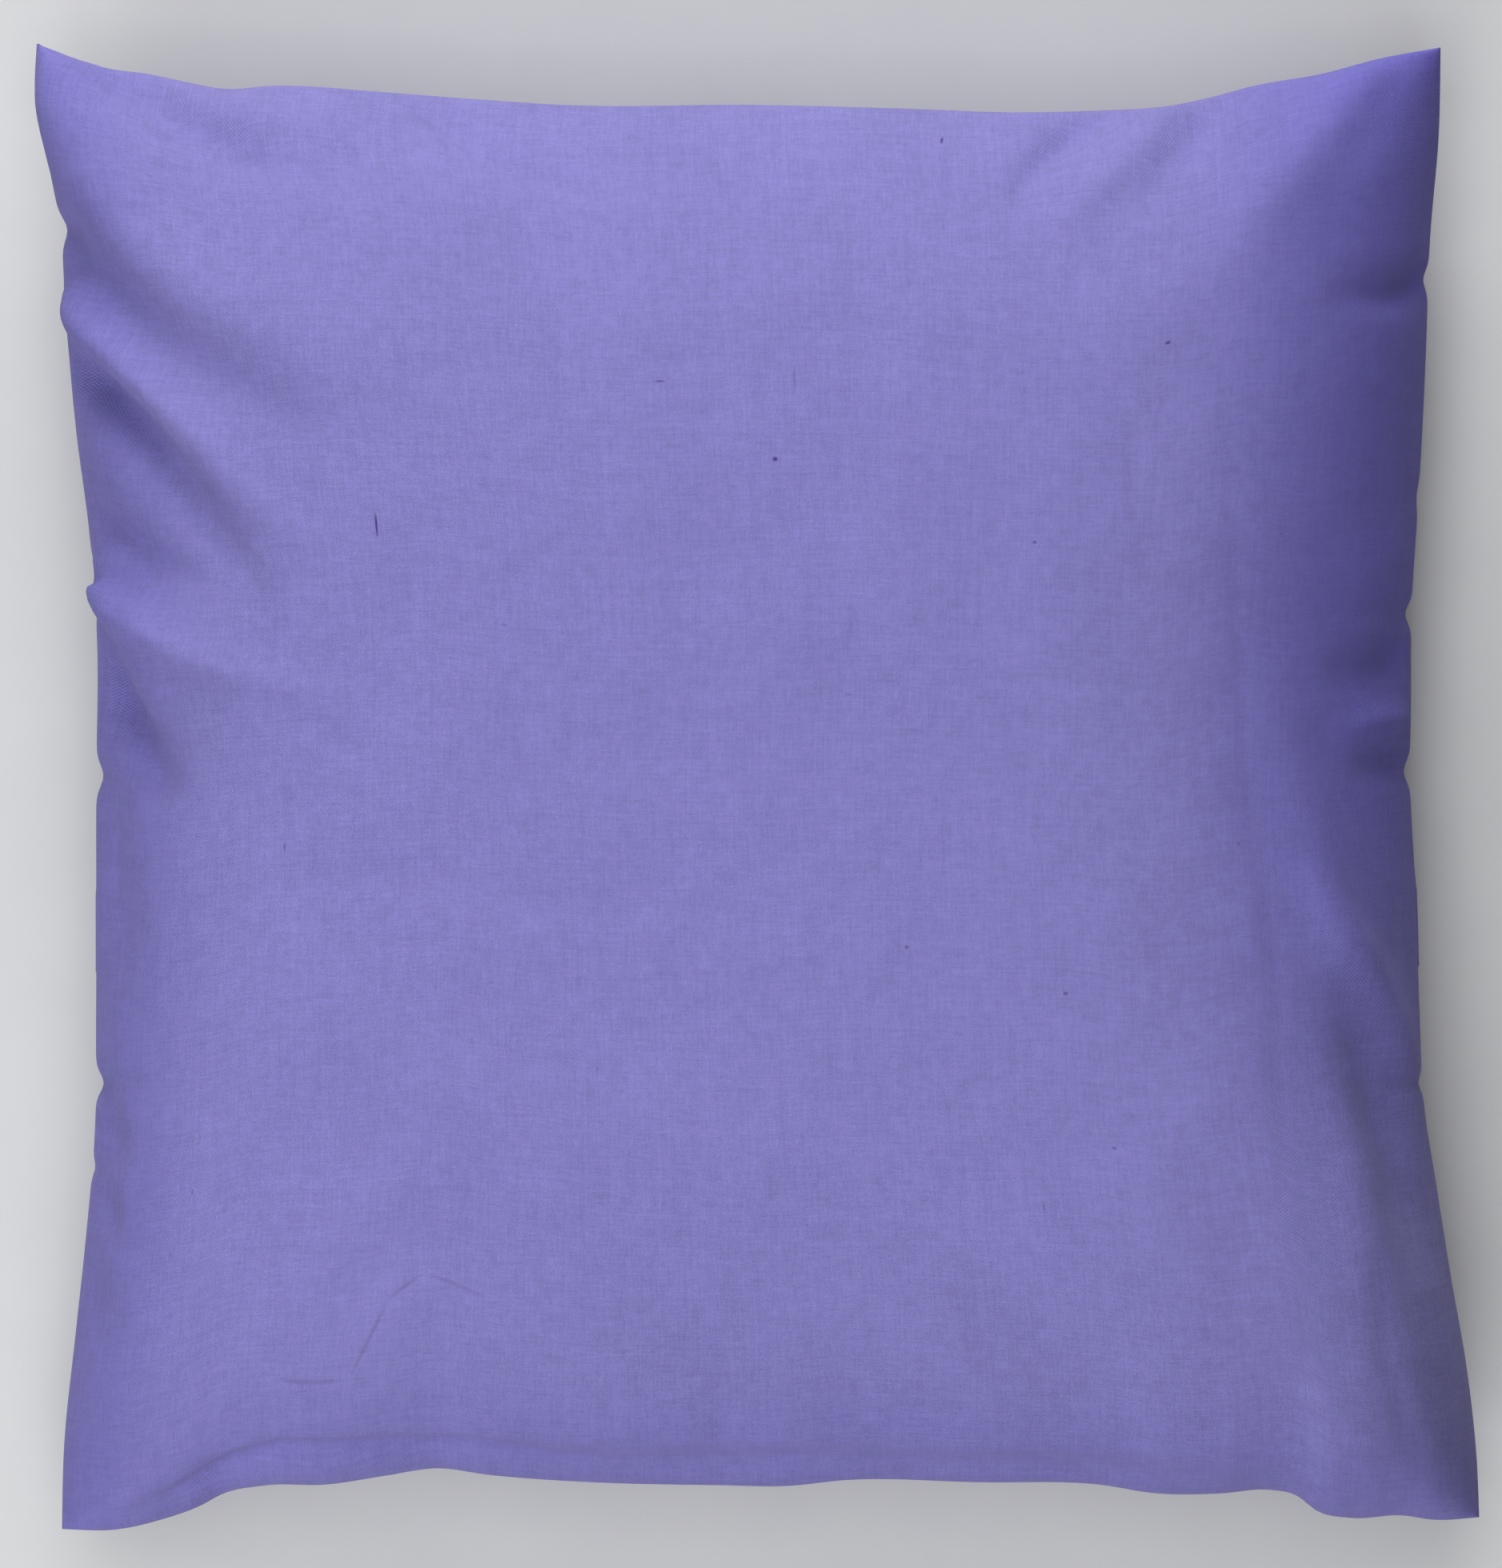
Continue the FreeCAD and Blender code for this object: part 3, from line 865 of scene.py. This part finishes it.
def node(tree, kind, settings=None, **inputs):
    """A shader node. An input is a value, or another node's socket, by the input's name or number."""
    made = tree.nodes.new(f"ShaderNode{kind}")
    for key, value in (settings or {}).items():
        setattr(made, key, value)
    for key, value in inputs.items():
        number = int(key[1:]) if key[0] == "n" and key[1:].isdigit() else None
        socket = made.inputs[number] if number is not None else made.inputs[key.replace("_", " ")]
        if isinstance(value, bpy.types.NodeSocket):
            tree.links.new(value, socket)
        else:
            socket.default_value = value
    return made


def maths(tree, operation, a, b=0.0, c=0.0):
    return node(tree, "Math", {"operation": operation}, n0=a, n1=b, n2=c).outputs[0]


def smooth_step(tree, value, low, high, to_low=0.0, to_high=1.0):
    made = node(tree, "MapRange", {"interpolation_type": "SMOOTHSTEP", "clamp": True}, n0=value,
                n1=low, n2=high, n3=to_low, n4=to_high)
    return made.outputs[0]


def stretched_noise(tree, place, scale_x, scale_y, detail, offset=0.0):
    """Noise whose grain is 1/scale_x by 1/scale_y millimetres."""
    mapping = node(tree, "Mapping", Vector=place)
    mapping.inputs["Scale"].default_value = (scale_x, scale_y, 1.0)
    mapping.inputs["Location"].default_value = (offset, offset * 1.7, 0.0)
    noise = node(tree, "TexNoise", Vector=mapping.outputs[0], Scale=1.0, Detail=detail, Roughness=0.55)
    return noise.outputs[0]


WARP_PITCH = 0.22
WEFT_PITCH = 0.24
SLUB = (0.055, 0.04, 0.19, 1.0)
STAIN = (0.115, 0.10, 0.25, 1.0)
HUSK_BROWN = (0.22, 0.12, 0.045, 1.0)
HUSK_STRAW = (0.68, 0.5, 0.25, 1.0)
# on the face, in plan: (x, y, length, width, degrees, strength)
FACE_SLUBS = [
    (-51.0, 35.2, 4.6, 0.42, 90, 1.0), (2.6, 43.8, 1.0, 0.9, 0, 1.0), (55.2, 59.6, 1.1, 0.7, 20, 0.9),
    (-13.2, 54.4, 2.0, 0.4, 0, 0.7), (5.2, 54.4, 5.0, 0.3, 90, 0.4), (24.6, 87.2, 1.5, 0.5, 80, 0.9),
    (-64.2, -8.0, 1.8, 0.4, 90, 0.5), (42.0, -28.0, 0.9, 0.7, 0, 0.7), (37.8, 33.4, 0.8, 0.6, 0, 0.7),
    (64.8, -8.2, 0.7, 0.6, 0, 0.5), (20.6, -21.6, 0.9, 0.7, 0, 0.6), (48.2, -49.2, 0.8, 0.6, 0, 0.6),
    (39.0, -57.0, 2.4, 0.35, 90, 0.35), (-34.0, 22.0, 1.6, 0.35, 0, 0.4), (70.4, 34.0, 0.9, 0.5, 0, 0.4),
    (-22.0, -38.0, 1.4, 0.35, 90, 0.35), (12.6, 12.0, 1.3, 0.35, 0, 0.35),
    (-76.0, -55.0, 1.1, 0.4, 90, 0.4),
]
# a faint tide mark, as short straight lengths
FACE_STAINS = [
    (-60.5, -80.2, 13.0, 1.0, -2, 0.30), (-52.3, -74.4, 13.2, 0.9, 66, 0.40),
    (-47.6, -67.4, 7.0, 0.9, 32, 0.38), (-40.2, -67.6, 11.4, 1.0, -16, 0.34),
    (-70.0, -83.5, 9.0, 1.3, 30, 0.18),
]
# where painted shade darkens the cloth towards a seam: (axis, where it starts, where it ends, share of
# the painted shade colour at its end)
PAINTED_SHADE_RIGHT = (0, 61.0, 106.0, 0.56)
PAINTED_SHADE_LEFT = (0, -86.0, -104.0, 0.24)
PAINTED_SHADE_BOTTOM = (1, -88.0, -107.0, 0.15)
# and the right side's painted shade fades in going up between these
PAINTED_SHADE_RIGHT_FADE = (1, -80.0, 20.0, 1.0)
# the cloth's unevenness: name, (grain across, grain along, detail, offset) and its weight in the tone
GRAINS = {
    "warp_streaks": ((3.2, 0.42, 3.0, 0.0), 0.40),
    "weft_streaks": ((0.3, 2.8, 3.0, 13.0), 0.38),
    "long_warps": ((1.7, 0.055, 3.0, 67.0), 0.26),
    "long_wefts": ((0.05, 1.6, 3.0, 83.0), 0.20),
    "specks": ((3.4, 2.4, 2.0, 29.0), 0.44),
    "mottle": ((0.42, 0.36, 3.0, 53.0), 0.26),
    "patches": ((0.06, 0.05, 3.0, 41.0), 0.24),
}
# the tones that come out as the dark and the light colour
TONE_RANGE = (0.77, 1.41)


def weave_height(tree, place):
    """A plain weave: each yarn a rounded ridge that the crossing yarns cover by turns."""
    axes = node(tree, "SeparateXYZ", n0=place)
    warp = maths(tree, "SINE", maths(tree, "MULTIPLY", axes.outputs[0], math.pi / WARP_PITCH))
    weft = maths(tree, "SINE", maths(tree, "MULTIPLY", axes.outputs[1], math.pi / WEFT_PITCH))
    return maths(tree, "MULTIPLY", maths(tree, "MULTIPLY", warp, weft), 0.5)


def blot_mask(tree, place, blots):
    """1 on any of the blots, each (x, y, length, width, degrees, strength) on the flat cloth."""
    mask = 0.0
    for x, y, length, width, degrees, strength in blots:
        local = node(tree, "Mapping", {"vector_type": "TEXTURE"}, Vector=place)
        local.inputs["Location"].default_value = (x, y, 0.0)
        local.inputs["Rotation"].default_value = (0.0, 0.0, math.radians(degrees))
        local.inputs["Scale"].default_value = (length / 2, width / 2, 1.0)
        away = node(tree, "VectorMath", {"operation": "LENGTH"}, n0=local.outputs[0]).outputs["Value"]
        mask = maths(tree, "MAXIMUM", mask, smooth_step(tree, away, 0.35, 1.1, strength, 0.0))
    return mask


def painted_shade_near_seams(tree, place):
    """The share of painted shade colour at each place, by how near the cloth's right, left or bottom
    seam is.
    """
    axes = node(tree, "SeparateXYZ", n0=place)

    def ramp(axis, start, end, share):
        return smooth_step(tree, axes.outputs[axis], start, end, 0.0, share)

    right = maths(tree, "MULTIPLY", ramp(*PAINTED_SHADE_RIGHT), ramp(*PAINTED_SHADE_RIGHT_FADE))
    sides = maths(tree, "MAXIMUM", right, ramp(*PAINTED_SHADE_LEFT))
    return maths(tree, "MAXIMUM", sides, ramp(*PAINTED_SHADE_BOTTOM))


def mix(tree, amount, low, high):
    """One colour at an amount of 0, the other at 1."""
    return node(tree, "Mix", {"data_type": "RGBA"}, n0=amount, n6=low, n7=high).outputs[2]


def finish_material(tree, shader):
    output = node(tree, "OutputMaterial")
    tree.links.new(shader.outputs[0], output.inputs[0])


def cotton(name, light, dark, sheen, painted_shade_colour=None, slubs=(), stains=()):
    """Cotton cloth: yarn streaks both ways, specks, mottling, a slow change of tone, and the weave as
    bump. The colour can be darkened near the seams as painted shade. Slubs are thick dark bits of
    yarn, and stains only tint the cloth."""
    material, tree = new_material(name)
    place = node(tree, "Attribute", {"attribute_name": "cloth_mm"}).outputs["Vector"]
    grain, tone = {}, 0.0
    for kind, (shape, weight) in GRAINS.items():
        grain[kind] = stretched_noise(tree, place, *shape)
        tone = maths(tree, "MULTIPLY_ADD", grain[kind], weight, tone)
    colour = mix(tree, smooth_step(tree, tone, *TONE_RANGE), dark, light)
    # painted shade: a darker, bluer colour towards the right, left and bottom seams
    if painted_shade_colour:
        colour = mix(tree, painted_shade_near_seams(tree, place), colour, painted_shade_colour)
    height = weave_height(tree, place)
    for kind, weight in (("warp_streaks", 0.5), ("weft_streaks", 0.4), ("specks", 0.6)):
        height = maths(tree, "MULTIPLY_ADD", grain[kind], weight, height)
    if slubs:
        slub = blot_mask(tree, place, slubs)
        colour = mix(tree, blot_mask(tree, place, stains), colour, STAIN)
        colour = mix(tree, slub, colour, SLUB)
        height = maths(tree, "MULTIPLY_ADD", slub, 1.5, height)
    bump = node(tree, "Bump", Strength=0.55, Distance=0.00012, Height=height)
    roughness = smooth_step(tree, grain["specks"], 0.3, 0.7, 0.82, 0.94)
    shader = node(tree, "BsdfPrincipled", Base_Color=colour, Roughness=roughness, Normal=bump.outputs[0])
    shader.inputs["Specular IOR Level"].default_value = 0.25
    shader.inputs["Sheen Weight"].default_value = sheen
    shader.inputs["Sheen Roughness"].default_value = 0.45
    shader.inputs["Sheen Tint"].default_value = (0.80, 0.78, 1.0, 1.0)
    finish_material(tree, shader)
    return material


def thread(name, light, dark):
    """Sewing thread: two plies whose twist shows as slanting ridges along each stitch."""
    material, tree = new_material(name)
    place = node(tree, "Attribute", {"attribute_name": "cloth_mm"}).outputs["Vector"]
    axes = node(tree, "SeparateXYZ", n0=place)
    slant = maths(tree, "MULTIPLY_ADD", axes.outputs[0], 9.0, axes.outputs[1])
    wave = maths(tree, "SINE", maths(tree, "MULTIPLY", slant, 2.0))
    ridge = maths(tree, "MULTIPLY_ADD", wave, 0.5, 0.5)
    # painted shade: the grooves between the ply ridges are coloured darker than their tops
    colour = mix(tree, ridge, dark, light)
    bump = node(tree, "Bump", Strength=0.7, Distance=0.00008, Height=ridge)
    roughness = smooth_step(tree, ridge, 0.0, 1.0, 0.7, 0.5)
    shader = node(tree, "BsdfPrincipled", Base_Color=colour, Roughness=roughness, Normal=bump.outputs[0])
    shader.inputs["Sheen Weight"].default_value = 0.3
    finish_material(tree, shader)
    return material


def husk_material():
    """Dry husks: small overlapping scales, straw to brown."""
    material, tree = new_material("spelt_husk")
    place = node(tree, "TexCoord").outputs["Object"]
    cells = node(tree, "TexVoronoi", Vector=place, Scale=330.0)
    fibres = node(tree, "TexNoise", Vector=place, Scale=900.0, Detail=4.0, Roughness=0.6)
    shade = node(tree, "SeparateColor", n0=cells.outputs["Color"])
    half_shade = maths(tree, "MULTIPLY", shade.outputs[0], 0.5)
    mixed = maths(tree, "MULTIPLY_ADD", fibres.outputs[0], 0.5, half_shade)
    colour = mix(tree, mixed, HUSK_BROWN, HUSK_STRAW)
    bump = node(tree, "Bump", Strength=0.9, Distance=0.0012, Height=cells.outputs["Distance"])
    roughness = smooth_step(tree, fibres.outputs[0], 0.3, 0.7, 0.6, 0.85)
    shader = node(tree, "BsdfPrincipled", Base_Color=colour, Roughness=roughness, Normal=bump.outputs[0])
    finish_material(tree, shader)
    return material


def wear(piece, body_slot, material, *nodes):
    """Gives a piece its material, hangs it from the root body and hides the CAD nodes it stands for;
    body_slot is not used.
    """
    piece.data.materials.append(material)
    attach(piece, "root")
    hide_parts(*nodes)


LILAC_LIGHT = (0.230, 0.209, 0.536, 1.0)
LILAC_DARK = (0.157, 0.143, 0.373, 1.0)
# a darker, bluer lilac painted towards the seams as shade
LILAC_PAINTED_SHADE = (0.074, 0.057, 0.400, 1.0)
lilac = cotton("lilac_cotton", LILAC_LIGHT, LILAC_DARK, 0.05, LILAC_PAINTED_SHADE)
lilac_face = cotton("lilac_cotton_face", LILAC_LIGHT, LILAC_DARK, 0.05, LILAC_PAINTED_SHADE,
                    on_cloth(FACE_SLUBS), on_cloth(FACE_STAINS))
calico = cotton("undyed_cotton", (0.80, 0.75, 0.64, 1.0), (0.68, 0.62, 0.50, 1.0), 0.15)
lilac_thread = thread("lilac_thread", (0.30, 0.26, 0.62, 1.0), (0.20, 0.16, 0.46, 1.0))
calico_thread = thread("undyed_cotton_thread", (0.86, 0.83, 0.75, 1.0), (0.66, 0.62, 0.53, 1.0))
husk = husk_material()

wear(front, "lilac_cotton", lilac_face, "cover_front_panel")
wear(back_upper, "lilac_cotton", lilac, "cover_back_upper_panel")
wear(back_lower, "lilac_cotton", lilac, "cover_back_lower_panel")
wear(upper_hem, "lilac_thread", lilac_thread, "upper_hem_stitches")
wear(lower_hem, "lilac_thread", lilac_thread, "lower_hem_stitches")
wear(bag_front, "undyed_cotton", calico, "inner_bag_front_panel")
wear(bag_back, "undyed_cotton", calico, "inner_bag_back_panel")
wear(husks, "spelt_husk", husk, "filling")
for side in SIDES:
    wear(cover_seams[side], "lilac_thread", lilac_thread, f"cover_seam_stitches_{side}")
    bag_node = "inner_bag_closing_stitches" if side == "bottom" else f"inner_bag_seam_stitches_{side}"
    wear(bag_seams[side], "undyed_cotton_thread", calico_thread, bag_node)

# ---- floor, light and camera --------------------------------------------------------------

FLOOR_HALF = 1.5
FLOOR_DARK = (0.535, 0.54, 0.55, 1.0)
FLOOR_LIGHT = (0.575, 0.58, 0.58, 1.0)


def plain_floor():
    mesh = bpy.data.meshes.new("floor")
    corners = [(x * FLOOR_HALF, y * FLOOR_HALF, 0) for x, y in ((-1, -1), (1, -1), (1, 1), (-1, 1))]
    mesh.from_pydata(corners, [], [(0, 1, 2, 3)])
    floor = bpy.data.objects.new("floor", mesh)
    bpy.context.scene.collection.objects.link(floor)
    material, tree = new_material("pale_floor")
    place = node(tree, "TexCoord").outputs["Object"]
    noise = node(tree, "TexNoise", Vector=place, Scale=60.0, Detail=4.0, Roughness=0.6)
    colour = mix(tree, noise.outputs[0], FLOOR_DARK, FLOOR_LIGHT)
    finish_material(tree, node(tree, "BsdfPrincipled", Base_Color=colour, Roughness=0.6))
    mesh.materials.append(material)


LIGHT_DISTANCE = 0.8
LIGHT_SIZE = 0.45
# (name, degrees round from the pillow's right, degrees up, watts, colour)
LIGHTS = [
    ("low_top", 98, 18, 4.8, (0.995, 0.99, 0.98)),
    ("top", 90, 45, 1.9, (0.98, 0.985, 1.0)),
    ("overhead", 180, 84, 2.0, (1.0, 1.0, 1.0)),
    ("low_bottom_left", 240, 38, 3.1, (1.0, 1.0, 1.0)),
    ("high_bottom", 270, 62, 1.42, (1.0, 1.0, 1.0)),
]


def soft_light(name, round_from_right, up, power, colour):
    """A square soft light that faces the pillow."""
    data = bpy.data.lights.new(name, "AREA")
    data.shape = "SQUARE"
    data.size = LIGHT_SIZE
    data.energy = power
    data.color = colour
    lamp = bpy.data.objects.new(name, data)
    azimuth, elevation = math.radians(round_from_right), math.radians(up)
    flat = LIGHT_DISTANCE * math.cos(elevation)
    height = LIGHT_DISTANCE * math.sin(elevation)
    lamp.location = (flat * math.cos(azimuth), flat * math.sin(azimuth), height)
    toward = (-lamp.location).normalized()
    lamp.rotation_euler = toward.to_track_quat("-Z", "Y").to_euler()
    bpy.context.scene.collection.objects.link(lamp)


ROOM_COLOUR = (0.93, 0.95, 1.0, 1.0)
ROOM_STRENGTH = 0.03


def studio():
    plain_floor()
    for light in LIGHTS:
        soft_light(*light)
    world = bpy.data.worlds.new("room")
    world.use_nodes = True
    background = world.node_tree.nodes["Background"]
    background.inputs[0].default_value = ROOM_COLOUR
    background.inputs[1].default_value = ROOM_STRENGTH
    bpy.context.scene.world = world
    bpy.context.scene.view_settings.view_transform = "Standard"


VIEW_HEIGHT = 0.2117
SENSOR = 36.0
# the middle of the view isn't quite the pillow's own middle
CAMERA_ASIDE = (-0.0008, 0.0003)


def camera():
    """Straight above the pillow, with its top end upwards in the view."""
    data = bpy.data.cameras.new("camera")
    data.sensor_width = SENSOR
    data.lens = SENSOR * (EYE_HEIGHT - SEAM_HEIGHT) * MM / VIEW_HEIGHT
    eye = bpy.data.objects.new("camera", data)
    eye.location = (*CAMERA_ASIDE, EYE_HEIGHT * MM)
    bpy.context.scene.collection.objects.link(eye)
    bpy.context.scene.camera = eye


studio()
camera()
